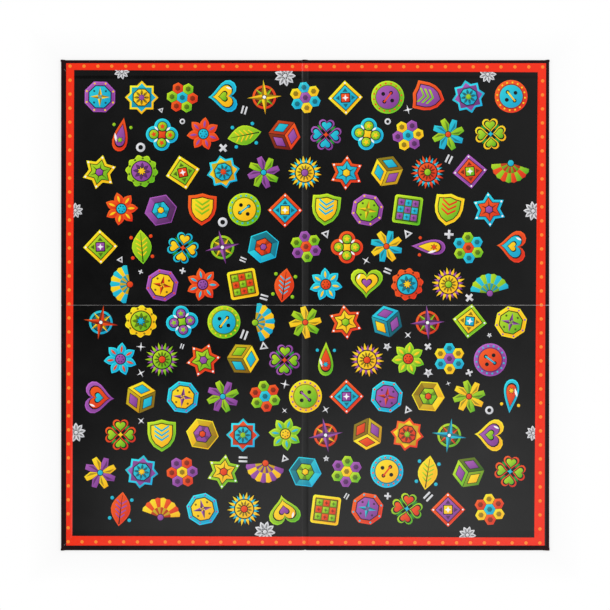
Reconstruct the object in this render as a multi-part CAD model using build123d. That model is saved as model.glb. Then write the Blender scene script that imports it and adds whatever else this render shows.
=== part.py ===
from build123d import *
import os

# A square game board in four panels, laid open, in millimetres.
# The origin is on the table under the middle of the board, +Z is up through
# the playing face, +X is right and +Y is away from the player in front.
# Two boards lie at the back and two at the front. The left and right boards
# fold face to face over a paper gutter. The back and front boards fold back
# to back over the back paper, and on the right they are cut apart.

# The open board
board_width = 500.0
board_depth = 502.0

# Thickness of the grey core board and of the papers glued to it
core_thickness = 2.0
back_paper = 0.2
face_paper = 0.2

# The folds
gutter_width = 6.7
gutter_sag = 0.8
seam_width = 0.3

# The back paper goes round the outer edges and is glued down on the face side
turn_in_side = 10.0
turn_in_back = 16.0
turn_in_front = 12.0
mitre_gap = 0.3
mitre_length = 10.0

# The face paper stops short of each outer edge and climbs on to the turn-in
margin_left = 5.4
margin_right = 3.4
margin_back = 3.3
margin_front = 5.0
ramp_side = 2.0
ramp_back = 3.0
ramp_front = 8.0

# Rounding that pressing leaves on the outer edges and corners of the core
edge_round = 0.5
core_corner_radius = 0.8

# Straight steps that make up the curve of the gutter paper
gutter_steps = 8

# Levels, counted up from the table
core_bottom = back_paper
core_top = core_bottom + core_thickness
wrap_top = core_top + back_paper

# Edges of one panel, counted out from the middle of the board
fold_x = gutter_width / 2
fold_y = seam_width / 2
outer_x = board_width / 2
outer_y = board_depth / 2

# Rounding of the core, limited by its own thickness, and of the paper round it
core_round = min(edge_round, 0.45 * core_thickness, 0.9 * core_corner_radius)
wrap_round = core_round + back_paper
wrap_corner_radius = core_corner_radius + back_paper

# The rim along each outer edge: where the turn-in ends, how long the ramp on to
# it is, and where the face paper ends, counted out from the middle of the board
left_rim = (outer_x - turn_in_side, ramp_side, outer_x - margin_left)
right_rim = (outer_x - turn_in_side, ramp_side, outer_x - margin_right)
back_rim = (outer_y - turn_in_back, ramp_back, outer_y - margin_back)
front_rim = (outer_y - turn_in_front, ramp_front, outer_y - margin_front)

# Every panel is modelled at the back right and mirrored to its own place
panels = {
    "back_left": (left_rim, back_rim),
    "back_right": (right_rim, back_rim),
    "front_left": (left_rim, front_rim),
    "front_right": (right_rim, front_rim),
}


def box_between(low, high):
    """A box between two opposite corners."""
    size = Vector(*high) - Vector(*low)
    return Pos(*low) * Box(size.X, size.Y, size.Z, align=(Align.MIN, Align.MIN, Align.MIN))


def prism(points, direction):
    """A solid swept straight from a flat outline of 3-D points."""
    outline = Wire.make_polygon([Vector(*point) for point in points], close=True)
    return Solid.extrude(Face(outline), Vector(*direction))


def rounded_panel(inset, bottom, top, corner_radius, rounding):
    """One panel with its two outer edges rounded, square along both folds."""
    panel = box_between((fold_x, fold_y, bottom), (outer_x - inset, outer_y - inset, top))
    corner = panel.edges().filter_by(Axis.Z).sort_by(Axis((0, 0, 0), (1, 1, 0)))[-1]
    panel = fillet(corner, corner_radius)
    levels = panel.edges().group_by(Axis.Z)
    outer_edges = []
    for level in (levels[0], levels[-1]):
        outer_edges += level.sort_by(Axis.X)[1:].sort_by(Axis.Y)[1:]
    return fillet(outer_edges, rounding)


def core_board():
    """The stiff grey board inside one panel."""
    return rounded_panel(back_paper, core_bottom, core_top, core_corner_radius, core_round)


def back_wrap(rim_x, rim_y):
    """The back paper of one panel, round its outer edges and turned in on the face side."""
    turned_x, turned_y = rim_x[0], rim_y[0]
    wrap = rounded_panel(0, 0, wrap_top, wrap_corner_radius, wrap_round)
    bare_face = box_between((fold_x, fold_y, core_top), (turned_x, turned_y, wrap_top))
    return wrap - core_board() - bare_face - mitre_slit(turned_x, turned_y)


def mitre_slit(turned_x, turned_y):
    """The cut where the two turned-in strips meet on the diagonal of the corner."""
    slit = Box(2 * mitre_length, mitre_gap, back_paper, align=(Align.CENTER, Align.CENTER, Align.MIN))
    return Pos(turned_x, turned_y, core_top) * Rot(0, 0, 45) * slit


def above_the_core(fold, rim):
    """From the core up to the top of the face paper, as distances from the fold and heights."""
    turned, ramp, end = rim
    flat = core_top + face_paper
    raised = wrap_top + face_paper
    base = [(fold, core_top), (end, core_top)]
    return base + [(end, raised), (turned, raised), (turned - ramp, flat), (fold, flat)]


def under_the_paper(rim):
    """The space below the raised face paper, which the turn-in fills."""
    turned, ramp, end = rim
    return [(turned - ramp, core_top), (end, core_top), (end, wrap_top), (turned, wrap_top)]


def face_sheet(rim_x, rim_y):
    """The printed paper of one panel, flat on the core and stepped up over the turn-in."""
    end_x = rim_x[-1]
    end_y = rim_y[-1]

    def across(profile):
        return prism([(x, fold_y, z) for x, z in profile], (0, end_y - fold_y, 0))

    def along(profile):
        return prism([(fold_x, y, z) for y, z in profile], (end_x - fold_x, 0, 0))

    top = across(above_the_core(fold_x, rim_x))
    top += along(above_the_core(fold_y, rim_y))
    space = across(under_the_paper(rim_x))
    space += along(under_the_paper(rim_y))
    return top - space


def gutter_stations():
    """Places across the gutter, with how far the face side dips at each."""
    stations = []
    for step in range(gutter_steps + 1):
        share = 2 * step / gutter_steps - 1
        stations.append((share * fold_x, gutter_sag * (1 - share**2)))
    return stations


def face_hinge_section(x, dip, rim):
    """Outline of the face paper over the gutter, seen from the side at one station."""
    turned, ramp, end = rim
    low = core_top - dip
    high = low + back_paper
    points = [(x, fold_y, low), (x, turned - ramp, low), (x, turned, high), (x, end, high)]
    points += [(x, end, high + face_paper), (x, turned, high + face_paper)]
    points += [(x, turned - ramp, low + face_paper), (x, fold_y, low + face_paper)]
    return Wire.make_polygon([Vector(*point) for point in points], close=True)


def face_hinge(rim):
    """The printed paper that dips across the gutter and folds between the panels."""
    sections = [face_hinge_section(x, dip, rim) for x, dip in gutter_stations()]
    return Solid.make_loft(sections, ruled=True)


def quarter_arc(x, centre_y, centre_z, radius, start_angle):
    """A quarter turn in a plane across the board, from a start angle in degrees."""
    plane = Plane(origin=(x, centre_y, centre_z), x_dir=(0, 1, 0), z_dir=(1, 0, 0))
    return Edge.make_circle(radius, plane, start_angle, start_angle + 90)


def back_hinge_section(x, dip, turned):
    """Outline of the back paper in the gutter: along the table, up the end and turned in."""
    top = wrap_top - dip
    end = outer_y - wrap_round
    upper = top - wrap_round
    lower = wrap_round
    edges = [
        Edge.make_line((x, fold_y, 0), (x, end, 0)),
        quarter_arc(x, end, lower, wrap_round, 270),
        Edge.make_line((x, outer_y, lower), (x, outer_y, upper)),
        quarter_arc(x, end, upper, wrap_round, 0),
        Edge.make_line((x, end, top), (x, turned, top)),
        Edge.make_line((x, turned, top), (x, turned, top - back_paper)),
        Edge.make_line((x, turned, top - back_paper), (x, end, top - back_paper)),
        quarter_arc(x, end, upper, core_round, 0),
        Edge.make_line((x, outer_y - back_paper, upper), (x, outer_y - back_paper, lower)),
        quarter_arc(x, end, lower, core_round, 270),
        Edge.make_line((x, end, back_paper), (x, fold_y, back_paper)),
        Edge.make_line((x, fold_y, back_paper), (x, fold_y, 0)),
    ]
    return Wire(edges)


def back_hinge(rim):
    """The back paper that bridges the gutter and goes round the spine when folded."""
    sections = [back_hinge_section(x, dip, rim[0]) for x, dip in gutter_stations()]
    return Solid.make_loft(sections, ruled=True)


def seam_hinge():
    """The strip of back paper that joins the back left and front left panels."""
    return box_between((-(outer_x - wrap_round), -fold_y, 0), (-fold_x, fold_y, back_paper))


def mirrored(shape, name):
    """A back right shape, mirrored to the panel or fold that the name says."""
    if "left" in name:
        shape = mirror(shape, about=Plane.YZ)
    if "front" in name:
        shape = mirror(shape, about=Plane.XZ)
    return shape


def write_part(shape, node):
    """One STEP file for one named piece."""
    shape.label = node
    export_step(shape, os.path.join("parts", node + ".step"))


def main():
    os.makedirs("parts", exist_ok=True)
    core = core_board()
    for panel, (rim_x, rim_y) in panels.items():
        write_part(mirrored(core, panel), "core_board_" + panel)
        write_part(mirrored(back_wrap(rim_x, rim_y), panel), "back_wrap_" + panel)
        write_part(mirrored(face_sheet(rim_x, rim_y), panel), "face_sheet_" + panel)
    for fold, rim in (("back", back_rim), ("front", front_rim)):
        write_part(mirrored(face_hinge(rim), fold), "gutter_face_paper_" + fold)
        write_part(mirrored(back_hinge(rim), fold), "gutter_back_paper_" + fold)
    write_part(seam_hinge(), "seam_back_paper_left")


main()
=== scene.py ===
import math
import random

import bmesh
import bpy
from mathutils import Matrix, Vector
from mathutils.geometry import delaunay_2d_cdt


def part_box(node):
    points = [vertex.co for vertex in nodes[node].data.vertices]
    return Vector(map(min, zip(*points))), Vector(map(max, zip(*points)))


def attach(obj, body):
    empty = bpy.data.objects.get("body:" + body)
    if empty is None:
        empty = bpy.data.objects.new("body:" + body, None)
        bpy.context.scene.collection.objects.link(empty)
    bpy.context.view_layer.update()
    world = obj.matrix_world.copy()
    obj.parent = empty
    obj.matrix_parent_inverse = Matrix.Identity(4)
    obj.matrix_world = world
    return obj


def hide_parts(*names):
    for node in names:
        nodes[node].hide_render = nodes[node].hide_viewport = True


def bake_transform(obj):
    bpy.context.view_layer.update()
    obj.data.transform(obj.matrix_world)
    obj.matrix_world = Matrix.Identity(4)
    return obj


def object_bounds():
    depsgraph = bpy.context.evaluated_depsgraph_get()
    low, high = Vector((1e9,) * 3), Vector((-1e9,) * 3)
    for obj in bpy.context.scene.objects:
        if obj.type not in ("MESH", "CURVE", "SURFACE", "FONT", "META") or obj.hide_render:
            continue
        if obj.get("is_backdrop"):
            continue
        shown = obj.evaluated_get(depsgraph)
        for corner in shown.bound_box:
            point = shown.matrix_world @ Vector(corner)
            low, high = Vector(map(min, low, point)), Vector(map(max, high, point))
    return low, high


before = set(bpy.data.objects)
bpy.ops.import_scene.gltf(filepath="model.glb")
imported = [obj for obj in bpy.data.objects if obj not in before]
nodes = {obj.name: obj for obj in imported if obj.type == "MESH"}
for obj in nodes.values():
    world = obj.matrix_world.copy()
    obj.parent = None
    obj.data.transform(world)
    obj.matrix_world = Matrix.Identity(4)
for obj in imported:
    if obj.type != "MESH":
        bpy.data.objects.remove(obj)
cad_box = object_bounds()

# A game board in four hinged panels, laid open and seen from straight above.
# The print is a raised film of ink on the face paper, drawn in millimetres as
# flat outlines laid over each other, and then cut along the folds.

MM = 0.001
TAU = 2 * math.pi
panels = ("back_left", "back_right", "front_left", "front_right")

# Sizes of the frame, in millimetres
core_low, core_high = [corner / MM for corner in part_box("core_board_back_right")]
wrap_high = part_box("back_wrap_back_right")[1] / MM
paper_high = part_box("face_sheet_back_right")[1] / MM
paper_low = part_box("face_sheet_front_left")[0] / MM
fold_x = core_low.x
fold_y = core_low.y
back_paper = core_low.z
face_paper = paper_high.z - wrap_high.z
flat_top = core_high.z + face_paper
step_height = wrap_high.z - core_high.z

# Where the turn-in under the face paper ends, and how long the ramp on to it is
turned_side, ramp_side = wrap_high.x - 10.0, 2.0
turned_back, ramp_back = wrap_high.y - 16.0, 3.0
turned_front, ramp_front = wrap_high.y - 12.0, 8.0

# Rounding of the outer edges
core_round = 0.5
wrap_round = core_round + back_paper

# How far the gutter is pressed in, on the face at its ends and on the back all
# along, and how much of the depth on the face is left in the middle of the board
gutter_sag = 0.4
gutter_lift = 0.8
gutter_middle_share = 0.15

# How far the end of the gutter bulges out at the back, and the pinch at the front
end_proud = 0.6
pinch_depth, pinch_width = 0.45, 1.1

# How much rougher the varnish is where the paper is creased
fold_dullness = 0.12

# The printed film, and how finely curves are cut
ink_height = 0.03
curve_error = 0.0035
gutter_cuts = 16

# The print sits a little askew on the board, as these corners say:
# back left, back right, front right, front left
band_corners = ((-236.5, 240.8), (238.2, 238.5), (234.6, -237.9), (-238.4, -236.2))
dot_corners = ((-240.6, 244.7), (243.2, 243.9), (240.3, -243.4), (-242.6, -242.2))
dots_per_side = 35
dot_radius = 1.75

# The band runs out to the edge of the paper, but at the front right it stops here
band_right_front = 245.1

# Silver flowers under the band: side, place along it and radius, and how much
# of each the band hides
flower_places = ((0, 0.1, 8), (0, 0.454, 11), (0, 0.896, 9), (1, 0.295, 10), (1, 0.778, 8),
                 (2, 0.141, 9), (2, 0.585, 11), (3, 0.218, 10), (3, 0.7, 8))
flower_hidden = 6.0

# The dark opening in the white tent above the board, in parts of a unit
# direction, and how light it and the walls are
opening_middle = (-0.11, -0.05, 0.0)
opening_inner, opening_outer = 0.08, 0.55
opening_light, wall_light = 0.0, 0.85

# Layout of the badges
row_count = 12
longest_row = 11
row_pitch = 38.4
back_row = 213.2
column_pitch = 42.0
badge_radius = 16.8
place_jitter = 0.9
turn_jitter = math.radians(12)
accent_share = 0.26
accent_sizes = (2.6, 5.4)
accent_jitter = 0.6
accent_gaps = 9

# Badges of one kind, or in one main ink, stay this far apart where they can
kind_reach = 96
ink_reach = 50

# The border is cut into short stretches, outside this distance from the middle
stretch_length = 30
border_start = 215

# Printing inks, each as a light and a deep colour
YELLOW = ((255, 232, 40), (250, 174, 8))
RED = ((252, 98, 30), (208, 28, 18))
CYAN = ((46, 212, 222), (0, 152, 200))
GREEN = ((198, 230, 38), (54, 164, 24))
PURPLE = ((174, 96, 186), (122, 52, 138))
FOREST = ((40, 166, 56), (12, 112, 34))
SILVER = ((244, 244, 246), (184, 186, 192))
WHITE = ((255, 255, 252), (240, 242, 246))
BLACK = ((12, 11, 13), (7, 7, 8))
BAND = ((247, 48, 14), (243, 43, 12))
DOT = ((255, 146, 50), (252, 128, 36))
MAIN_INKS = 3 * (YELLOW, CYAN, RED, GREEN) + 2 * (PURPLE,)


def linear(value):
    """One sRGB channel, 0 to 255, as linear light."""
    share = value / 255
    return share / 12.92 if share <= 0.04045 else ((share + 0.055) / 1.055) ** 2.4


def shaded(ink, factor):
    """A lighter or darker ink of the same hue."""
    return tuple(tuple(min(255, channel * factor) for channel in colour) for colour in ink)


# Outlines, drawn round the middle of a badge whose radius is 1

def circle(radius, x=0.0, y=0.0):
    sides = max(8, round(math.pi / math.acos(1 - min(curve_error / radius, 0.5))))
    return moved(polygon(radius, sides), x, y)


def polygon(radius, sides, turn=0.0):
    return [polar(radius, turn + TAU * k / sides) for k in range(sides)]


def polar(radius, angle):
    return (radius * math.cos(angle), radius * math.sin(angle))


def moved(points, x=0.0, y=0.0, turn=0.0, scale=1.0):
    c, s = scale * math.cos(turn), scale * math.sin(turn)
    return [(x + px * c - py * s, y + px * s + py * c) for px, py in points]


def star(outer, inner, tips, turn=0.0):
    radii = (outer, inner)
    return [polar(radii[k % 2], turn + math.pi * k / tips) for k in range(2 * tips)]


def scalloped(radius, depth, lobes, steps=8):
    turns = [TAU * k / (lobes * steps) for k in range(lobes * steps)]
    return [polar(radius + depth * math.cos(lobes * turn), turn) for turn in turns]


def rectangle(x0, y0, x1, y1):
    return [(x0, y0), (x1, y0), (x1, y1), (x0, y1)]


def lens(length, width, start=0.0, steps=8):
    """A pointed petal along +X from start."""
    shares = [k / steps for k in range(steps + 1)]
    rise = [(start + length * share, 0.5 * width * math.sin(math.pi * share)) for share in shares]
    return [(x, -y) for x, y in rise] + rise[-2:0:-1]


def drop_outline(size, steps=22):
    """A drop with its tip at the top."""
    points = []
    for k in range(steps):
        angle = TAU * k / steps
        points.append((0.62 * size * math.sin(angle) * math.sin(angle / 2) ** 1.4, size * math.cos(angle)))
    return points[::-1]


def heart_outline(size, steps=26):
    points = []
    for k in range(steps):
        a = TAU * k / steps
        high = 13 * math.cos(a) - 5 * math.cos(2 * a) - 2 * math.cos(3 * a) - math.cos(4 * a)
        points.append((size * math.sin(a) ** 3, size * (high + 2.5) / 16))
    return points[::-1]


def shield_outline(size):
    side = [(0.86, 0.8), (0.86, 0.1), (0.76, -0.3), (0.5, -0.68), (0.0, -1.0)]
    top = [(0.0, 0.96), (0.45, 0.84)]
    right = [(size * x, size * y) for x, y in top + side]
    return right[::-1] + [(-x, y) for x, y in right[1:-1]]


def rounded_square(half, corner, steps=5):
    points = []
    for k in range(4):
        middle = polar((half - corner) * math.sqrt(2), TAU * (k + 0.5) / 4)
        for j in range(steps + 1):
            px, py = polar(corner, TAU * (k + j / steps) / 4)
            points.append((middle[0] + px, middle[1] + py))
    return points


def around(points, count, ink, turn=0.0):
    """Copies of one outline round the middle, as layers."""
    return [(moved(points, turn=turn + TAU * k / count), ink) for k in range(count)]


def outlined(points, ink, inner=0.86):
    """A fill inside a dark line."""
    return [(points, BLACK), (moved(points, scale=inner), ink)]


def rimmed(points, ink):
    """A fill with a paler rim, as the edge of a pressed badge has."""
    return [(points, shaded(ink, 1.16)), (moved(points, scale=0.93), ink)]


def moved_layers(layers, x=0.0, y=0.0, turn=0.0, scale=1.0):
    return [(moved(points, x, y, turn, scale), ink) for points, ink in layers]


# The badges. Each is a list of layers from the lowest up, in three inks.

def rosette(a, b, c):
    layers = rimmed(scalloped(0.93, 0.07, 10, 6), a)
    layers += around(circle(0.07, 0.78), 10, shaded(a, 0.55), TAU / 20)
    layers += outlined(circle(0.66), b, 0.91)
    layers += around(lens(0.42, 0.2, 0.12), 8, shaded(b, 0.6))
    return layers + outlined(star(0.34, 0.17, 8, TAU / 16), c, 0.78)


def star_badge(a, b, c):
    layers = rimmed(star(1.06, 0.66, 6, TAU / 4), a)
    layers += outlined(star(0.8, 0.5, 6, TAU / 4), b, 0.9)
    layers += around([(0.2, -0.05), (0.62, 0.0), (0.2, 0.05)], 6, shaded(b, 0.55), TAU / 4)
    layers += around(circle(0.06, 0.9), 6, WHITE, TAU / 4)
    return layers + outlined(polygon(0.28, 6, TAU / 12), c, 0.8)


def gem(a, b, c):
    layers = [(polygon(1.0, 6), shaded(a, 1.1))]
    outer, inner = polygon(0.94, 6), polygon(0.56, 6)
    for k in range(6):
        facet = [outer[k], outer[(k + 1) % 6], inner[(k + 1) % 6], inner[k]]
        layers.append((facet, shaded(a, (0.96, 0.7, 0.58, 0.66, 0.84, 1.04)[k])))
    layers += outlined(polygon(0.58, 6), b, 0.9)
    layers += around([(0.0, 0.0), (0.46, -0.14), (0.46, 0.14)], 3, shaded(b, 0.72), TAU / 12)
    return layers + outlined(polygon(0.24, 6, TAU / 12), c, 0.78)


def quatrefoil(a, b, c):
    layers = around(circle(0.5, 0.48), 4, shaded(a, 1.16)) + around(circle(0.45, 0.48), 4, a)
    layers += around(circle(0.32, 0.5), 4, BLACK) + around(circle(0.27, 0.5), 4, b)
    layers += around(moved(star(0.2, 0.09, 5), 0.5), 4, c)
    layers += around(lens(0.34, 0.12, 0.34), 4, WHITE, TAU / 8)
    return layers + outlined(star(0.38, 0.22, 4, TAU / 8), c, 0.8)


def diamond(a, b, c):
    layers = rimmed(polygon(1.05, 4), a)
    layers += outlined(polygon(0.82, 4), b, 0.92)
    layers += around([(0.36, -0.16), (0.6, 0.0), (0.36, 0.16)], 4, shaded(b, 0.55))
    layers += around(circle(0.055, 0.9), 4, WHITE)
    layers += outlined(rounded_square(0.3, 0.06), c, 0.82)
    return layers + [(star(0.2, 0.08, 4), WHITE)]


def shield(a, b, c):
    layers = rimmed(shield_outline(1.0), a) + outlined(shield_outline(0.8), b, 0.92)
    for level in (-0.36, -0.08, 0.2):
        chevron = [(-0.44, level + 0.3), (0.0, level), (0.44, level + 0.3)]
        layers.append((chevron + [(0.44, level + 0.43), (0.0, level + 0.13), (-0.44, level + 0.43)], c))
    return layers


def blossom(a, b, c):
    layers = around(lens(0.86, 0.56, 0.16), 7, shaded(a, 1.14), TAU / 4)
    layers += around(lens(0.76, 0.44, 0.18), 7, a, TAU / 4)
    layers += around(lens(0.46, 0.14, 0.38), 7, b, TAU / 4)
    layers += outlined(circle(0.34), c, 0.84)
    return layers + around(circle(0.045, 0.17), 6, shaded(c, 0.5))


def sunburst(a, b, c):
    ray = [(0.5, -0.15), (1.04, 0.0), (0.5, 0.15)]
    layers = around(ray, 14, a) + around(moved(ray, scale=0.9), 14, b, TAU / 28)
    layers += outlined(circle(0.62), a, 0.9)
    layers += around(lens(0.34, 0.12, 0.16), 12, shaded(a, 0.55))
    return layers + outlined(circle(0.24), c, 0.8)


def pinwheel(a, b, c):
    layers = []
    for k in range(8):
        ink = (a, b)[k % 2]
        turn = TAU * k / 8
        blade = [(0.0, 0.0), polar(0.62, -0.12), polar(1.0, 0.2), polar(0.95, 0.52), polar(0.6, 0.62)]
        crease = [(0.1, 0.01), polar(0.6, 0.0), polar(0.88, 0.24)]
        layers.append((moved(blade, turn=turn), ink))
        layers.append((moved(crease, turn=turn), shaded(ink, 0.68)))
    return layers + outlined(circle(0.2), c, 0.78)


def four_hearts(a, b, c):
    layers = []
    for size, ink in ((0.48, a), (0.38, BLACK), (0.3, b)):
        layers += around(moved(heart_outline(size), 0.0, 0.5), 4, ink)
    layers += around(lens(0.42, 0.16, 0.36), 4, FOREST, TAU / 8)
    return layers + outlined(star(0.24, 0.12, 4), c, 0.76)


def leaf(a, b, c):
    layers = rimmed(moved(lens(2.1, 1.2, -1.05), turn=TAU / 4), a)
    layers.append(([(-0.035, -0.92), (0.035, -0.92), (0.012, 0.84), (-0.012, 0.84)], BLACK))
    for level in (-0.56, -0.28, 0.0, 0.28):
        reach = 0.36 * math.cos(level * 1.2)
        for side in (-1, 1):
            vein = [(0.04, level), (reach, level + 0.24), (reach * 0.9, level + 0.3), (0.04, level + 0.1)]
            vein = [(side * x, y) for x, y in vein]
            layers.append((vein if side > 0 else vein[::-1], b))
    beads = ((-0.6, -0.62), (0.6, -0.62), (-0.6, 0.62), (0.6, 0.62))
    return layers + [(circle(0.11, x, y), c) for x, y in beads]


def mosaic(a, b, c):
    layers = rimmed(rounded_square(0.86, 0.16), a)
    layers += outlined(rounded_square(0.7, 0.06), shaded(a, 0.5), 0.95)
    for column in (-1, 0, 1):
        for row in (-1, 0, 1):
            ink = (b, c)[(column + row) % 2]
            x, y = 0.43 * column, 0.43 * row
            layers.append((rectangle(x - 0.18, y - 0.18, x + 0.18, y + 0.18), ink))
            layers.append((moved(star(0.13, 0.05, 4), x, y), shaded(ink, 0.6)))
    return layers


def octagon(a, b, c):
    layers = rimmed(polygon(1.0, 8, TAU / 16), a) + outlined(polygon(0.76, 8, TAU / 16), b, 0.92)
    layers += around(circle(0.06, 0.87), 8, c, TAU / 16)
    layers += around([(0.12, -0.12), (0.6, 0.0), (0.12, 0.12)], 4, c)
    layers += around([(0.0, 0.0), (0.6, 0.0), (0.12, 0.12)], 4, shaded(c, 0.6))
    return layers + around(circle(0.07, 0.5), 4, shaded(b, 0.5), TAU / 8)


def fan(a, b, c):
    layers = []
    base = -0.62
    for k in range(9):
        start, end = math.pi * (0.06 + 0.88 * k / 9), math.pi * (0.06 + 0.88 * (k + 1) / 9)
        wedge = [(0.0, base), polar(1.36, start), polar(1.42, (start + end) / 2), polar(1.36, end)]
        wedge = [wedge[0]] + [(x, y + base) for x, y in wedge[1:]]
        inner = [(0.0, base)] + [(0.52 * x, base + 0.52 * (y - base)) for x, y in wedge[1:]]
        layers += [(wedge, (a, b)[k % 2]), (inner, shaded((b, a)[k % 2], 0.8))]
    layers += moved_layers(outlined(circle(0.26), c, 0.8), y=base)
    return moved_layers(layers, scale=0.86)


def drop(a, b, c):
    layers = rimmed(drop_outline(1.04), a) + outlined(moved(drop_outline(0.76), 0.0, -0.06), b, 0.88)
    layers.append((moved(lens(0.56, 0.14), -0.2, -0.5, 1.9), WHITE))
    layers += moved_layers(outlined(star(0.24, 0.11, 6), c, 0.76), y=-0.34)
    return layers + [(circle(0.1, x, 0.52), c) for x in (-0.52, 0.52)]


def eight_star(a, b, c):
    layers = [(polygon(1.02, 4), a), (polygon(1.02, 4, TAU / 8), shaded(a, 1.12))]
    layers += [(polygon(0.86, 4), b), (polygon(0.86, 4, TAU / 8), shaded(b, 0.82))]
    layers += outlined(polygon(0.58, 8, TAU / 16), a, 0.9)
    layers += around(lens(0.4, 0.16, 0.08), 8, shaded(a, 0.58))
    return layers + outlined(star(0.28, 0.15, 8), c, 0.78)


def heart(a, b, c):
    layers = rimmed(heart_outline(0.98), a) + outlined(heart_outline(0.74), b, 0.9)
    layers.append((moved(heart_outline(0.34), 0.0, 0.02), BLACK))
    layers.append((moved(heart_outline(0.27), 0.0, 0.02), c))
    return layers + [(moved(lens(0.4, 0.12), -0.56, 0.24, 1.2), WHITE)]


def cube(a, b, c):
    corners = polygon(1.0, 6, TAU / 12)
    layers = []
    for k, (face, inner) in enumerate(((shaded(a, 1.05), b), (shaded(a, 0.8), c), (shaded(a, 0.55), b))):
        tip = corners[2 * k + 1]
        tile = [(0.0, 0.0), corners[2 * k], tip, corners[(2 * k + 2) % 6]]
        middle = (tip[0] / 2, tip[1] / 2)
        for scale, ink in ((0.96, face), (0.62, BLACK), (0.54, inner)):
            layers.append(([toward(point, middle, scale) for point in tile], ink))
    return layers


def toward(point, middle, scale):
    return tuple(m + scale * (p - m) for p, m in zip(point, middle))


def compass(a, b, c):
    layers = outlined(circle(0.76), b, 0.95) + outlined(circle(0.58), shaded(b, 0.5), 0.9)
    for count, reach, width, ink in ((4, 0.74, 0.2, c), (4, 1.06, 0.24, a)):
        turn = TAU / 8 if reach < 1 else 0.0
        layers += around([(0.0, 0.0), polar(width, -TAU / 8), (reach, 0.0)], count, ink, turn)
        layers += around([(0.0, 0.0), (reach, 0.0), polar(width, TAU / 8)], count, shaded(ink, 0.6), turn)
    return layers + outlined(circle(0.14), WHITE, 0.74)


def honeycomb(a, b, c):
    layers = []
    places = [(0.0, 0.0)] + [polar(0.63, TAU * (k + 0.5) / 6) for k in range(6)]
    for k, (x, y) in enumerate(places):
        ink = c if k == 0 else (a, b)[k % 2]
        for radius, tone in ((0.35, shaded(ink, 1.12)), (0.3, ink), (0.17, shaded(ink, 0.6))):
            layers.append((moved(polygon(radius, 6), x, y), tone))
    return layers


def button(a, b, c):
    layers = rimmed(circle(1.0), a) + [(circle(0.76), shaded(a, 0.6)), (circle(0.7), b)]
    layers += around(rectangle(0.8, -0.05, 0.9, 0.05), 16, c)
    layers += around(circle(0.12, 0.34), 4, BLACK, TAU / 8)
    return layers + around(rectangle(-0.38, -0.05, 0.38, 0.05), 2, c, TAU / 8)


BADGES = (rosette, gem, leaf, star_badge, mosaic, quatrefoil, shield, sunburst, heart, octagon, pinwheel,
          diamond, blossom, cube, fan, compass, drop, honeycomb, four_hearts, eight_star, button)


# Small silver pieces between the badges

def sparkle():
    return [(star(1.0, 0.22, 4), SILVER), (circle(0.2), WHITE)]


def plus_sign():
    return [(rectangle(-0.9, -0.24, 0.9, 0.24), SILVER), (rectangle(-0.24, -0.9, 0.24, 0.9), SILVER)]


def small_ring():
    return [(circle(0.9), SILVER), (circle(0.46), BLACK)]


def hollow_triangle():
    return [(polygon(1.0, 3, TAU / 4), SILVER), (polygon(0.44, 3, TAU / 4), BLACK)]


def small_star():
    return [(star(1.0, 0.48, 5, TAU / 4), SILVER), (star(0.4, 0.2, 5, TAU / 4), shaded(SILVER, 0.7))]


def double_bar():
    return [(rectangle(-0.9, y - 0.2, 0.9, y + 0.2), SILVER) for y in (-0.4, 0.4)]


ACCENTS = (sparkle, plus_sign, small_star, small_ring, hollow_triangle, double_bar)


# The height of the face paper

def rim_along(y):
    """Where the turn-in ends and how long its ramp is, for the back or the front of the board."""
    return (turned_back, ramp_back) if y > 0 else (turned_front, ramp_front)


def climbed(distance, turned, ramp):
    """How much of the turn-in's height the paper has climbed, from 0 to 1."""
    return min(max((distance - turned + ramp) / ramp, 0.0), 1.0)


def gutter_dip(x, y):
    """The paper drops steeply at the left of the gutter and rises gently to the right."""
    share = min(abs(x) / fold_x, 1.0)
    depth = gutter_sag * (gutter_middle_share + (1 - gutter_middle_share) * abs(y) / wrap_high.y)
    return depth * (1 - share ** (4 if x < 0 else 2))


def paper_top(x, y):
    """Top of the face paper at a place on the open board."""
    rise = max(climbed(abs(x), turned_side, ramp_side), climbed(abs(y), *rim_along(y)))
    return flat_top + step_height * rise - gutter_dip(x, y)


# The printed film. A film is a dictionary from a corner's key to its place,
# with its triangles, and one island for each badge or stretch of border.

films = {}


def film_name(x, y, part):
    """The piece that a triangle belongs to: one of the panels, or the paper over the gutter."""
    depth = "back" if y > 0 else "front"
    if abs(x) < fold_x:
        return "print_gutter_" + depth
    return "print_" + depth + ("_left_" if x < 0 else "_right_") + part


def ink_colour(ink, box, x, y):
    """Linear colour of a layer at one place, lighter at the top left and deeper at the bottom right."""
    x0, y0, x1, y1 = box
    share = 0.5 * ((x - x0) / (x1 - x0) + (y1 - y) / (y1 - y0))
    light, deep = ink
    return tuple(linear(a) + share * (linear(b) - linear(a)) for a, b in zip(light, deep))


def box_of(points):
    xs, ys = [p[0] for p in points], [p[1] for p in points]
    return min(xs), min(ys), max(xs), max(ys)


def counterclockwise(points):
    area = sum(a[0] * b[1] - b[0] * a[1] for a, b in zip(points, points[1:] + points[:1]))
    return points if area > 0 else points[::-1]


def fold_lines(box):
    """Cuts along the folds and the ramps and over the curve of the gutter, where they cross a drawing."""
    x0, y0, x1, y1 = box
    across = [fold_x * (2 * k / gutter_cuts - 1) for k in range(gutter_cuts + 1)]
    across += [side * x for side in (-1, 1) for x in (turned_side, turned_side - ramp_side)]
    along = [fold_y, turned_back - ramp_back, turned_back]
    along += [-fold_y, ramp_front - turned_front, -turned_front]
    lines = [((x, y0 - 1), (x, y1 + 1)) for x in across if x0 < x < x1]
    return lines + [((x0 - 1, y), (x1 + 1, y)) for y in along if y0 < y < y1]


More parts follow.
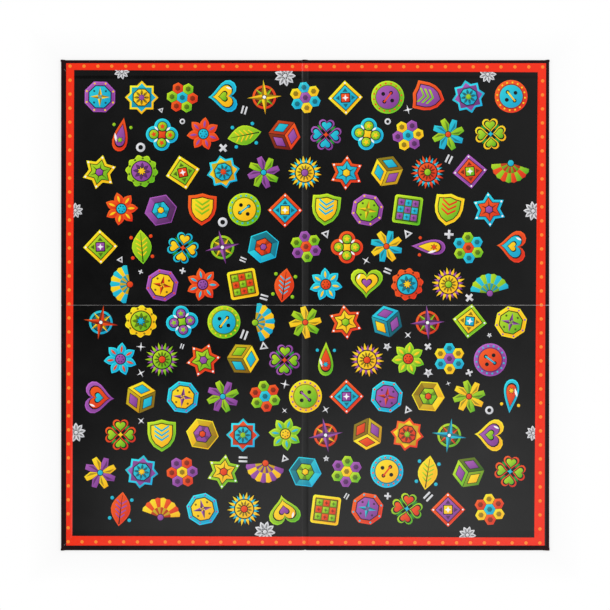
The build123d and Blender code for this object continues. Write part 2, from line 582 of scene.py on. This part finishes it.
def draw(layers, part, island, lines=(), island_of=None):
    """Cuts laid-over outlines into triangles, each with the ink of its topmost layer."""
    layers = [(counterclockwise(points), ink) for points, ink in layers]
    boxes = [box_of(points) for points, ink in layers]
    whole = box_of([point for points, ink in layers for point in points])
    corners, faces, edges = [], [], []
    for points, ink in layers:
        faces.append(list(range(len(corners), len(corners) + len(points))))
        corners += [Vector(point) for point in points]
    for line in list(lines) + fold_lines(whole):
        edges.append((len(corners), len(corners) + 1))
        corners += [Vector(point) for point in line]
    inside, tolerance = 1, 1e-5
    places, _, triangles, _, _, sources = delaunay_2d_cdt(corners, edges, faces, inside, tolerance)
    for triangle, source in zip(triangles, sources):
        if not source:
            continue
        points = [places[k] for k in triangle]
        x = sum(p.x for p in points) / 3
        y = sum(p.y for p in points) / 3
        if abs(y) < fold_y:
            continue
        top = max(source)
        colours = [ink_colour(layers[top][1], boxes[top], p.x, p.y) for p in points]
        key = (island, island_of(x, y)) if island_of else island
        add_triangle(film_name(x, y, part), key, triangle, points, colours)


def add_triangle(name, island, triangle, points, colours):
    film = films.setdefault(name, {"corners": {}, "faces": []})
    keys = [(island, corner) for corner in triangle]
    for key, point in zip(keys, points):
        film["corners"].setdefault(key, (point.x, point.y))
    film["faces"].append((keys, colours, island))


def bilinear(corners, u, v):
    """A place inside four corners: u runs from left to right and v from back to front."""
    back_left, back_right, front_right, front_left = corners
    back = [a + u * (b - a) for a, b in zip(back_left, back_right)]
    front = [a + u * (b - a) for a, b in zip(front_left, front_right)]
    return tuple(a + v * (b - a) for a, b in zip(back, front))


def badge_places():
    """Where the badges go: longer and shorter rows by turns, each badge a little out of line."""
    chance = random.Random(11)
    for row in range(row_count):
        columns = longest_row - row % 2
        for column in range(columns):
            x = column_pitch * (column - (columns - 1) / 2) + chance.uniform(-place_jitter, place_jitter)
            y = back_row - row_pitch * row + chance.uniform(-place_jitter, place_jitter)
            quarter = TAU / 4 * chance.choice((0, 0, 0, 1, 2, 3))
            yield row, column, x, y, quarter + chance.uniform(-turn_jitter, turn_jitter)


def unlike(chance, options, placed, x, y, reach):
    """One of the options that no badge within reach has already."""
    near = {option for option, px, py in placed if math.hypot(px - x, py - y) < reach}
    return chance.choice([option for option in options if option not in near] or list(options))


def draw_badges():
    chance = random.Random(23)
    kinds, mains = [], []
    for row, column, x, y, turn in badge_places():
        kind = unlike(chance, BADGES, kinds, x, y, kind_reach)
        main = unlike(chance, MAIN_INKS, mains, x, y, ink_reach)
        kinds.append((kind, x, y))
        mains.append((main, x, y))
        second = chance.choice([ink for ink in MAIN_INKS if ink is not main])
        third = chance.choice([ink for ink in MAIN_INKS if ink not in (main, second)])
        layers = moved_layers(kind(main, second, third), x, y, turn, badge_radius)
        draw(layers, f"row_{row + 1}", (row, column))


def draw_accents():
    """Silver pieces in some of the gaps, each as far from the three badges round it."""
    chance = random.Random(5)
    half = column_pitch / 2
    nearer = (half**2 + row_pitch**2) / (2 * row_pitch)
    for row in range(row_count - 1):
        for gap in range(-accent_gaps, accent_gaps + 1):
            two_above = gap % 2 == 1 - row % 2
            drop_by = row_pitch - nearer if two_above else nearer
            x = half * gap + chance.uniform(-accent_jitter, accent_jitter)
            y = back_row - row_pitch * row - drop_by + chance.uniform(-accent_jitter, accent_jitter)
            size = chance.uniform(*accent_sizes)
            turn = chance.uniform(0, TAU)
            kind = chance.choice(ACCENTS)
            if chance.random() < accent_share and min(abs(x) - fold_x, abs(y) - fold_y) > size:
                draw(moved_layers(kind(), x, y, turn, size), "accents", (row, gap))


def silver_flower():
    """A silver flower that shows half behind the border band."""
    layers = around(lens(0.8, 0.42, 0.2), 9, SILVER)
    layers += around(lens(0.56, 0.18, 0.26), 9, shaded(SILVER, 0.62))
    return layers + outlined(circle(0.24), SILVER, 0.8)


def border_layers():
    """Silver flowers, then four sides of a red band over them, then the dots."""
    inner = band_corners
    back = ((paper_low.x, paper_high.y), (paper_high.x, paper_high.y))
    front = ((band_right_front, paper_low.y), (paper_low.x, paper_low.y))
    outer = back + front
    layers = []
    for k, share, size in flower_places:
        start, end = inner[k], inner[(k + 1) % 4]
        x, y = [a + share * (b - a) for a, b in zip(start, end)]
        inward = (size - flower_hidden) / math.hypot(x, y)
        layers += moved_layers(silver_flower(), x - x * inward, y - y * inward, 0.3 * k, size)
    for k in range(4):
        after = (k + 1) % 4
        layers.append(([outer[k], inner[k], inner[after], outer[after]], BAND))
    steps = dots_per_side - 1
    for k in range(steps):
        share = k / steps
        for u, v in ((share, 0), (1, share), (1 - share, 1), (0, 1 - share)):
            layers.append((moved(polygon(dot_radius, 14), *bilinear(dot_corners, u, v)), DOT))
    return layers


def border_stretch(x, y):
    """Which short stretch of the border a place is in."""
    if abs(y) > abs(x):
        return ("across", math.floor(x / stretch_length), y > 0)
    return ("along", math.floor(y / stretch_length), x > 0)


def draw_border():
    lines = []
    near, far = border_start, wrap_high.x
    count = math.floor(far / stretch_length)
    for k in range(-count, count + 1):
        at = stretch_length * k
        for side in (-1, 1):
            lines.append(((at, side * near), (at, side * far)))
            lines.append(((side * near, at), (side * far, at)))
    for side_x in (-1, 1):
        for side_y in (-1, 1):
            lines.append(((side_x * near, side_y * near), (side_x * far, side_y * far)))
    draw(border_layers(), "border", "border", lines, border_stretch)


def film_maps(film):
    """A place in the unit square for every corner, with the islands side by side in a grid."""
    islands = {}
    for keys, _, island in film["faces"]:
        islands.setdefault(island, []).extend(film["corners"][key] for key in keys)
    boxes = {island: box_of(points) for island, points in islands.items()}
    sizes = {island: (x1 - x0, y1 - y0) for island, (x0, y0, x1, y1) in boxes.items()}
    grown, apart = 1.04, 0.2
    sides = zip(*[sorted(size) for size in sizes.values()])
    short_side, long_side = [grown * max(lengths) + apart for lengths in sides]
    columns = max(1, round(math.sqrt(len(boxes) * short_side / long_side)))
    rows = math.ceil(len(boxes) / columns)
    span = max(columns * long_side, rows * short_side)
    order = {island: k for k, island in enumerate(boxes)}

    def place(key, island):
        x, y = film["corners"][key]
        x0, y0, x1, y1 = boxes[island]
        x, y = x - (x0 + x1) / 2, y - (y0 + y1) / 2
        width, height = sizes[island]
        if height > width:
            x, y = y, -x
        column, row = order[island] % columns, order[island] // columns
        return ((column + 0.5) * long_side + x) / span, ((row + 0.5) * short_side + y) / span

    return place


def film_faces(film):
    """Faces of a closed film: its top, its underside and its thin edges, each corner with ink and map."""
    index = {key: k for k, key in enumerate(film["corners"])}
    count = len(index)
    place = film_maps(film)
    faces, colours, maps, sides = [], [], [], {}
    for keys, inks, island in film["faces"]:
        a, b, c = [index[key] for key in keys]
        uv = [place(key, island) for key in keys]
        faces += [(a, b, c), (c + count, b + count, a + count)]
        colours += inks + inks[::-1]
        maps += uv + uv[::-1]
        for k in range(3):
            first, second = index[keys[k]], index[keys[(k + 1) % 3]]
            if not sides.pop((second, first), None):
                sides[(first, second)] = (inks[k], inks[(k + 1) % 3], uv[k], uv[(k + 1) % 3])
    for (first, second), (ink_a, ink_b, uv_a, uv_b) in sides.items():
        faces.append((second, first, first + count, second + count))
        colours += [ink_b, ink_a, ink_a, ink_b]
        maps += [uv_b, uv_a, uv_a, uv_b]
    return faces, colours, maps


def build_film(name, film, material):
    """One closed film of ink that lies on the face paper."""
    tops = [(x, y, paper_top(x, y)) for x, y in film["corners"].values()]
    points = [(x * MM, y * MM, (z + ink_height) * MM) for x, y, z in tops]
    points += [(x * MM, y * MM, z * MM) for x, y, z in tops]
    faces, colours, maps = film_faces(film)
    mesh = bpy.data.meshes.new(name)
    mesh.from_pydata(points, [], faces)
    ink = mesh.color_attributes.new("ink", "FLOAT_COLOR", "CORNER")
    ink.data.foreach_set("color", [value for colour in colours for value in (*colour, 1.0)])
    layer = mesh.uv_layers.new(name="OFBake")
    layer.data.foreach_set("uv", [value for uv in maps for value in uv])
    return add_piece(name, mesh, material)


def add_piece(name, mesh, material):
    mesh.materials.append(material)
    piece = bpy.data.objects.new(name, mesh)
    bpy.context.scene.collection.objects.link(piece)
    return piece


def build_print(material, fold_material):
    draw_badges()
    draw_accents()
    draw_border()
    for name in sorted(films):
        words = name.split("_")
        over_fold = words[1] == "gutter"
        piece = build_film(name, films[name], fold_material if over_fold else material)
        if over_fold:
            blend_over_gutter(piece, words[2])
        else:
            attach(piece, words[1] + "_" + words[2] + "_panel")


def blend_over_gutter(piece, fold):
    start, end = (-fold_x * MM, 0, 0), (fold_x * MM, 0, 0)
    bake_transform(piece)
    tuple(start)
    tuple(end)


# The papers over the folds

def loft(name, rings, material):
    """A closed piece through rings of points in millimetres, with a cap at each end."""
    size = len(rings[0])
    points = [tuple(value * MM for value in point) for ring in rings for point in ring]
    faces = []
    for start in range(0, len(points) - size, size):
        for j in range(size):
            after = (j + 1) % size
            faces.append((start + j, start + after, start + size + after, start + size + j))
    faces.append(tuple(range(size))[::-1])
    faces.append(tuple(range(len(points) - size, len(points))))
    mesh = bpy.data.meshes.new(name)
    mesh.from_pydata(points, [], faces)
    face_outward(mesh)
    return add_piece(name, mesh, material)


def rings_along(stations, outline):
    """One outline of (y, z) points at each station along x."""
    return [[(x, y, z) for y, z in outline(x)] for x in stations]


def face_outward(mesh):
    solid = bmesh.new()
    solid.from_mesh(mesh)
    bmesh.ops.recalc_face_normals(solid, faces=solid.faces)
    solid.to_mesh(mesh)
    solid.free()


def arc(middle_y, middle_z, radius, start, steps=4):
    """A quarter turn of (y, z) points, from a start angle in quarter turns."""
    angles = [TAU / 4 * (start + k / steps) for k in range(steps + 1)]
    return [(middle_y + radius * math.cos(a), middle_z + radius * math.sin(a)) for a in angles]


def face_strip(end_y, side):
    """Outline of the face paper over the gutter, which climbs on to the turn-in at its end."""
    def outline(x):
        turned, ramp = rim_along(side)
        ys = (fold_y, turned - ramp, turned, end_y)
        top = [(y, paper_top(x, side * y)) for y in ys]
        loop = [(y, z - face_paper) for y, z in top] + top[::-1]
        return [(side * y, z) for y, z in loop]
    return outline


def back_strip(side):
    """Outline of the back paper in the gutter: along the table, up the end and turned in."""
    def outline(x):
        low = gutter_lift * (1 - (x / fold_x) ** 2)
        top = wrap_high.z - gutter_dip(x, wrap_high.y)
        middle = wrap_high.y - wrap_round + end_bulge(x, side)
        lower, upper = low + wrap_round, top - wrap_round
        loop = [(fold_y, low)] + arc(middle, lower, wrap_round, 3) + arc(middle, upper, wrap_round, 0)
        turned = rim_along(side)[0]
        loop += [(turned, top), (turned, top - back_paper)]
        loop += arc(middle, upper, core_round, 0)[::-1] + arc(middle, lower, core_round, 3)[::-1]
        loop.append((fold_y, low + back_paper))
        return [(side * y, z) for y, z in loop]
    return outline


def end_bulge(x, side):
    """The paper bulges out at the back end of the gutter and is pinched at the front end."""
    if side > 0:
        return end_proud * gutter_dip(x, wrap_high.y) / gutter_sag
    return -pinch_depth * math.exp(-((x / pinch_width) ** 2))


def build_fold_papers(print_material, back_material):
    stations = [fold_x * (2 * k / gutter_cuts - 1) for k in range(gutter_cuts + 1)]
    for fold, side, end_y in (("back", 1, paper_high.y), ("front", -1, -paper_low.y)):
        face_rings = rings_along(stations, face_strip(end_y, side))
        back_rings = rings_along(stations, back_strip(side))
        face = loft("face_fold_" + fold, face_rings, print_material)
        back = loft("back_fold_" + fold, back_rings, back_material)
        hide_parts("gutter_face_paper_" + fold)
        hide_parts("gutter_back_paper_" + fold)
        for piece in (face, back):
            smooth(piece)
            blend_over_gutter(piece, fold)


def build_seam_paper(material):
    """The strip of back paper that joins the two left panels, divided into six across its width."""
    low, high = [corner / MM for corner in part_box("seam_back_paper_left")]
    cuts = 6
    ys = [low.y + (high.y - low.y) * k / cuts for k in range(cuts + 1)]
    section = [(y, low.z) for y in ys] + [(y, high.z) for y in ys[::-1]]
    rings = [[(x, y, z) for y, z in section] for x in (low.x, high.x)]
    piece = loft("seam_fold_left", rings, material)
    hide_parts("seam_back_paper_left")
    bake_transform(piece)


def smooth(piece):
    piece.data.shade_smooth()
    piece.data.set_sharp_from_angle(angle=math.radians(40))


# Gathered paper at the corners of the board

def build_corner_folds(material):
    chance = random.Random(8)
    for panel in panels:
        side_x = 1 if panel.endswith("right") else -1
        side_y = 1 if panel.startswith("back") else -1
        length, proud = chance.uniform(4.5, 7.5), chance.uniform(0.35, 0.6)
        build_corner_fold(panel, side_x, side_y, length, proud, material)


def build_corner_fold(panel, side_x, side_y, length, proud, material):
    """A flat pleat that stands a little out from the corner, thinning along the edge."""
    outline = [(-0.5, -0.45 * length), (0.15, -0.4 * length), (0.7 * proud, -1.2), (0.75 * proud, -0.2)]
    outline += [(0.35 * proud, 0.55 * proud), (-0.9, proud), (-0.4 * length, 0.8 * proud)]
    outline += [(-0.8 * length, 0.3 * proud), (-length, -0.1), (-0.9 * length, -0.7)]
    outline += [(-2.0, -0.75), (-0.8, -1.6)]
    middle = [sum(values) / len(outline) for values in zip(*outline)]
    heights_and_scales = ((0.12, 0.8), (0.34, 1.0), (wrap_high.z - 0.3, 1.0), (wrap_high.z + 0.02, 0.82))
    rings = []
    for z, scale in heights_and_scales:
        ring = [toward(point, middle, scale) for point in outline]
        rings.append([(side_x * (wrap_high.x + x), side_y * (wrap_high.y + y), z) for x, y in ring])
    piece = loft("corner_fold_" + panel, rings, material)
    smooth(piece)
    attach(piece, panel + "_panel")


# The cut edge of the face paper along the seam shows its pale inside

def build_cut_edges(material):
    chance = random.Random(3)
    for panel in panels:
        low, high = [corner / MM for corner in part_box("face_sheet_" + panel)]
        side = 1 if panel.startswith("back") else -1
        build_cut_edge(panel, low.x, high.x, side, chance, material)


def build_cut_edge(panel, low_x, high_x, side, chance, material):
    """A ragged pale strip that hangs a little over the seam and frays on to the print."""
    hang, lap, thick, proud = 0.14, 0.07, 0.14, 0.012
    end_gap, last_step, steps = 0.1, 1.2, (0.5, 1.6)
    # Near the middle, where the folds cross, the pale strip laps 1.6 times as far on to the print, which
    # makes a brighter spot there.
    crossing_reach, crossing_lap = 8, 1.6
    xs = [low_x + end_gap]
    while xs[-1] < high_x - last_step:
        xs.append(xs[-1] + chance.uniform(*steps))
    xs.append(high_x - end_gap)
    rings = []
    wear = 0.5
    for x in xs:
        wear = min(max(wear + chance.uniform(-0.2, 0.2), 0.15), 1.0)
        near = fold_y - hang * (0.75 + 0.25 * wear)
        far = fold_y + lap * wear * (crossing_lap if abs(x) < crossing_reach else 1.0)
        top = paper_top(x, fold_y) + proud
        outline = ((near, top - thick), (far, top - thick), (far, top), (near, top))
        rings.append([(x, side * y, z) for y, z in outline])
    piece = loft("cut_edge_" + panel, rings, material)
    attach(piece, panel + "_panel")


# Materials

class Nodes:
    """Short calls for the nodes of a material or of the world."""

    def __init__(self, owner, coordinates):
        owner.use_nodes = True
        self.owner = owner
        self.tree = owner.node_tree
        self.place = self.add("ShaderNodeTexCoord").outputs[coordinates]

    def add(self, kind, inputs=(), **properties):
        """A new node, with its properties set and its inputs fed."""
        node = self.tree.nodes.new(kind)
        for key, value in properties.items():
            setattr(node, key, value)
        for socket, value in inputs:
            self.feed(node, socket, value)
        return node

    def feed(self, node, socket, value):
        """Links another node's output to an input, or sets the input to a number or colour."""
        if isinstance(value, bpy.types.NodeSocket):
            self.tree.links.new(value, node.inputs[socket])
        else:
            node.inputs[socket].default_value = value

    def noise(self, scale, detail=3.0, stretch=None):
        place = self.place
        if stretch:
            place = self.add("ShaderNodeMapping", [("Vector", place), ("Scale", stretch)]).outputs["Vector"]
        inputs = [("Vector", place), ("Scale", scale), ("Detail", detail)]
        return self.add("ShaderNodeTexNoise", inputs).outputs["Fac"]

    def spread(self, source, low, high, to_low, to_high):
        """Maps a range of one number on to another."""
        inputs = [("Value", source), ("From Min", low), ("From Max", high)]
        inputs += [("To Min", to_low), ("To Max", to_high)]
        return self.add("ShaderNodeMapRange", inputs).outputs["Result"]

    def mix(self, share, first, second, blend="MIX"):
        """A colour between two; each may be a socket or a linear colour."""
        inputs = [(0, share), (6, first), (7, second)]
        return self.add("ShaderNodeMix", inputs, data_type="RGBA", blend_type=blend).outputs[2]

    def sum(self, first, second, kind="ADD"):
        return self.add("ShaderNodeMath", [(0, first), (1, second)], operation=kind).outputs["Value"]

    def finish(self, colour, roughness, height, strength, distance, specular=0.5):
        inputs = [("Height", height), ("Strength", strength), ("Distance", distance)]
        bump = self.add("ShaderNodeBump", inputs).outputs["Normal"]
        self.principled(colour, roughness, specular, ("Normal", bump))
        return self.owner

    def principled(self, colour, roughness, specular, *others):
        """The surface shader, with its main inputs fed."""
        shader = self.tree.nodes["Principled BSDF"]
        values = [("Base Color", colour), ("Roughness", roughness), ("Specular IOR Level", specular)]
        for socket, value in values + list(others):
            self.feed(shader, socket, value)
        return shader


def new_material(name):
    return Nodes(bpy.data.materials.new(name), "Object")


def srgb(*channels):
    return (*[linear(channel) for channel in channels], 1.0)


def varnish(m, colour, dull):
    """Satin varnish with fine orange peel over the paper's slow waves; dull where the paper is creased."""
    patches = m.spread(m.noise(35, 4.0), 0.3, 0.7, 0.17 + dull, 0.21 + dull)
    roughness = m.sum(patches, m.spread(m.noise(700), 0.3, 0.7, -0.01, 0.01))
    height = m.sum(m.noise(900, 2.0), m.sum(m.noise(60, 2.0), 1.5, "MULTIPLY"))
    if dull:
        creases = m.spread(m.noise(420, 3.0, (4.0, 0.35, 1.0)), 0.45, 0.7, 0.0, 2.0)
        height = m.sum(height, creases)
    return m.finish(colour, roughness, height, 0.2, 0.00002)


def ink_material(name, dull=0.0):
    """The coloured inks, with the faint mottle of offset printing under the varnish."""
    m = new_material(name)
    ink = m.add("ShaderNodeAttribute", attribute_name="ink").outputs["Color"]
    mottle = m.spread(m.noise(420, 4.0), 0.3, 0.7, 0.0, 0.16)
    colour = m.mix(mottle, ink, m.mix(1.0, ink, srgb(226, 222, 216), "MULTIPLY"))
    if dull:
        colour = m.mix(cracks(m), colour, srgb(120, 116, 112))
    return varnish(m, colour, dull)


def black_print_material(name, dull=0.0):
    """The black printed field."""
    m = new_material(name)
    cloud = m.spread(m.noise(14, 4.0), 0.35, 0.65, 0.0, 1.0)
    colour = m.mix(cloud, srgb(3, 3, 3), srgb(9, 9, 9))
    dust = m.spread(m.noise(2600, 1.0), 0.76, 0.8, 0.0, 0.35)
    colour = m.mix(dust, colour, srgb(58, 58, 60))
    if dull:
        colour = m.mix(cracks(m), colour, srgb(74, 72, 72))
    return varnish(m, colour, dull)


def cracks(m):
    """Hairline cracks of the print along a crease."""
    lines = m.spread(m.noise(900, 4.0, (3.0, 0.25, 1.0)), 0.62, 0.7, 0.0, 0.5)
    return m.sum(lines, m.spread(m.noise(45, 2.0), 0.45, 0.6, 0.0, 1.0), "MULTIPLY")


def back_paper_material():
    """Black back paper: a brown-black with fibres, and pale where its edges have rubbed."""
    m = new_material("back_paper")
    cloud = m.spread(m.noise(22, 5.0), 0.3, 0.7, 0.0, 1.0)
    colour = m.mix(cloud, srgb(24, 4, 8), srgb(34, 9, 13))
    fibres = m.spread(m.noise(500, 3.0, (1.0, 5.0, 1.0)), 0.62, 0.78, 0.0, 0.55)
    colour = m.mix(fibres, colour, srgb(60, 34, 36))
    rubbed = m.sum(edge_wear(m), m.spread(m.noise(240, 3.0), 0.5, 0.66, 0.0, 1.0), "MULTIPLY")
    colour = m.mix(rubbed, colour, srgb(98, 68, 66))
    roughness = m.spread(m.noise(300, 4.0), 0.3, 0.7, 0.26, 0.38)
    height = m.sum(m.noise(1300, 3.0), m.noise(260, 3.0, (1.0, 4.0, 1.0)))
    return m.finish(colour, roughness, height, 0.3, 0.00004, 0.16)


def edge_wear(m):
    """How near a place is to the outer rim of the board, from 0 to 1."""
    parts = m.add("ShaderNodeSeparateXYZ", [("Vector", m.place)]).outputs
    wear = []
    for part, edge in ((parts["X"], wrap_high.x), (parts["Y"], wrap_high.y)):
        distance = m.sum(part, 0.0, "ABSOLUTE")
        wear.append(m.spread(distance, (edge - 0.5) * MM, edge * MM, 0.0, 0.7))
    return m.sum(wear[0], wear[1], "MAXIMUM")


def grey_board_material():
    """Grey board of pressed waste paper: speckled, with layers along its cut edges."""
    m = new_material("grey_board")
    cloud = m.spread(m.noise(90, 5.0), 0.3, 0.7, 0.0, 1.0)
    colour = m.mix(cloud, srgb(150, 144, 134), srgb(178, 172, 160))
    layers = m.spread(m.noise(300, 3.0, (0.4, 0.4, 14.0)), 0.4, 0.62, 0.0, 0.6)
    colour = m.mix(layers, colour, srgb(126, 119, 110))
    specks = m.spread(m.noise(2200, 2.0), 0.68, 0.74, 0.0, 0.7)
    colour = m.mix(specks, colour, srgb(82, 78, 78))
    roughness = m.spread(m.noise(400), 0.3, 0.7, 0.86, 0.98)
    height = m.sum(m.noise(1500, 4.0), m.noise(500, 3.0, (0.4, 0.4, 12.0)))
    return m.finish(colour, roughness, height, 0.7, 0.0001, 0.2)


def cut_paper_material():
    """The inside of the face paper where it was cut, pale but soiled in places."""
    m = new_material("cut_paper")
    soil = m.spread(m.noise(70, 3.0, (1.0, 0.1, 0.1)), 0.35, 0.62, 0.0, 1.0)
    colour = m.mix(soil, srgb(176, 174, 172), srgb(104, 102, 102))
    specks = m.spread(m.noise(1500), 0.55, 0.7, 0.0, 0.5)
    colour = m.mix(specks, colour, srgb(70, 68, 68))
    roughness = m.spread(m.noise(300), 0.3, 0.7, 0.8, 0.95)
    return m.finish(colour, roughness, m.noise(1800, 3.0), 0.6, 0.00005, 0.2)


def paint(node, material):
    slots = nodes[node].data.materials
    slots.clear()
    slots.append(material)


# Floor, lamps and camera

def floor_material():
    """White floor that keeps the board's soft shadow, with painted shade: a faint grey ring round the board
    that goes to plain white away from it.
    """
    m = new_material("floor")
    edge, fade = wrap_high.y * MM, 0.035
    shader = m.principled((0.86, 0.86, 0.86, 1.0), 0.9, 0.0)
    path = m.add("ShaderNodeLightPath").outputs
    reflected = m.sum(path["Is Glossy Ray"], path["Is Transmission Ray"], "MAXIMUM")
    seen = m.sum(path["Is Camera Ray"], reflected, "MAXIMUM")
    parts = m.add("ShaderNodeSeparateXYZ", [("Vector", m.place)]).outputs
    across = m.sum(parts["X"], 0.0, "ABSOLUTE")
    along = m.sum(parts["Y"], 0.0, "ABSOLUTE")
    # Painted shade: within fade of the board the floor takes only 0.74 of the white glow, so it is a little
    # grey all round the board, besides the real shadow it keeps.
    plain = m.spread(m.sum(across, along, "MAXIMUM"), edge, edge + fade, 0.74, 1.0)
    glow = m.add("ShaderNodeEmission", [("Strength", 1.0)]).outputs["Emission"]
    inputs = [(0, m.sum(seen, plain, "MULTIPLY")), (1, shader.outputs["BSDF"]), (2, glow)]
    blend = m.add("ShaderNodeMixShader", inputs).outputs["Shader"]
    m.feed(m.tree.nodes["Material Output"], "Surface", blend)
    return m.owner


def build_floor():
    reach, drop_below = 15.0, 0.00004
    corners = [(x, y, -drop_below) for x, y in rectangle(-reach, -reach, reach, reach)]
    mesh = bpy.data.meshes.new("floor")
    mesh.from_pydata(corners, [], [(0, 1, 2, 3)])
    mesh.materials.append(floor_material())
    floor = bpy.data.objects.new("floor", mesh)
    bpy.context.scene.collection.objects.link(floor)
    floor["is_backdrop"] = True


def softbox(name, place, size, share):
    """A square lamp aimed at the board, which gives that share of full light on a flat white sheet."""
    place = Vector(place)
    data = bpy.data.lights.new(name, "AREA")
    data.shape = "RECTANGLE"
    data.size, data.size_y = size
    data.energy = share * math.pi**2 * place.length_squared * place.length / place.z
    lamp = bpy.data.objects.new(name, data)
    lamp.location = place
    lamp.rotation_euler = place.to_track_quat("Z", "Y").to_euler()
    lamp.visible_camera = False
    bpy.context.scene.collection.objects.link(lamp)


def build_lamps():
    softbox("key_right", (2.0, 0.7, 1.7), (1.8, 1.8), 0.22)
    softbox("fill_left", (-2.0, 0.5, 1.7), (1.6, 1.6), 0.1)
    softbox("high_front", (0.11, -0.9, 2.35), (1.02, 1.4), 0.056)


def build_world():
    """A white tent round the board, with a dark opening above that leans to the left."""
    world = bpy.data.worlds.new("tent")
    bpy.context.scene.world = world
    m = Nodes(world, "Generated")
    shifted = m.add("ShaderNodeVectorMath", [(0, m.place), (1, opening_middle)], operation="SUBTRACT")
    inputs = [(0, shifted.outputs["Vector"]), (1, (1.0, 1.0, 0.0))]
    flattened = m.add("ShaderNodeVectorMath", inputs, operation="MULTIPLY")
    distance = m.add("ShaderNodeVectorMath", [(0, flattened.outputs["Vector"])], operation="LENGTH")
    wall = m.spread(distance.outputs["Value"], opening_inner, opening_outer, opening_light, wall_light)
    height = m.add("ShaderNodeSeparateXYZ", [("Vector", m.place)]).outputs["Z"]
    low = m.spread(height, 0.25, 0.6, 0.55, 1.0)
    light = m.sum(wall, low, "MULTIPLY")
    seen = m.add("ShaderNodeLightPath").outputs["Is Camera Ray"]
    m.feed(m.tree.nodes["Background"], "Color", m.sum(light, seen, "MAXIMUM"))


def build_camera():
    """Straight above the board; the picture takes in 625 mm across."""
    picture_width, distance, sensor = 0.6245, 2.1, 36.0
    off_x, off_y = -0.15, 0.2
    data = bpy.data.cameras.new("camera")
    data.sensor_width = sensor
    data.lens = sensor * distance / picture_width
    camera = bpy.data.objects.new("camera", data)
    camera.location = (off_x * MM, off_y * MM, distance + flat_top * MM)
    bpy.context.scene.collection.objects.link(camera)
    bpy.context.scene.camera = camera


def main():
    build_camera()
    black_print, back_paper_look = black_print_material("black_print"), back_paper_material()
    grey_board = grey_board_material()
    for panel in panels:
        paint("core_board_" + panel, grey_board)
        paint("back_wrap_" + panel, back_paper_look)
        paint("face_sheet_" + panel, black_print)
    build_fold_papers(black_print_material("black_print_fold", fold_dullness), back_paper_look)
    build_seam_paper(back_paper_look)
    build_print(ink_material("printed_ink"), ink_material("printed_ink_fold", fold_dullness))
    build_corner_folds(back_paper_look)
    build_cut_edges(cut_paper_material())
    build_floor()
    build_lamps()
    build_world()
    bpy.context.scene.view_settings.view_transform = "Standard"


main()
visual_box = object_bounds()
boxes = {"cad": cad_box, "visual": visual_box}
{name: [list(corner) for corner in box] for name, box in boxes.items()}
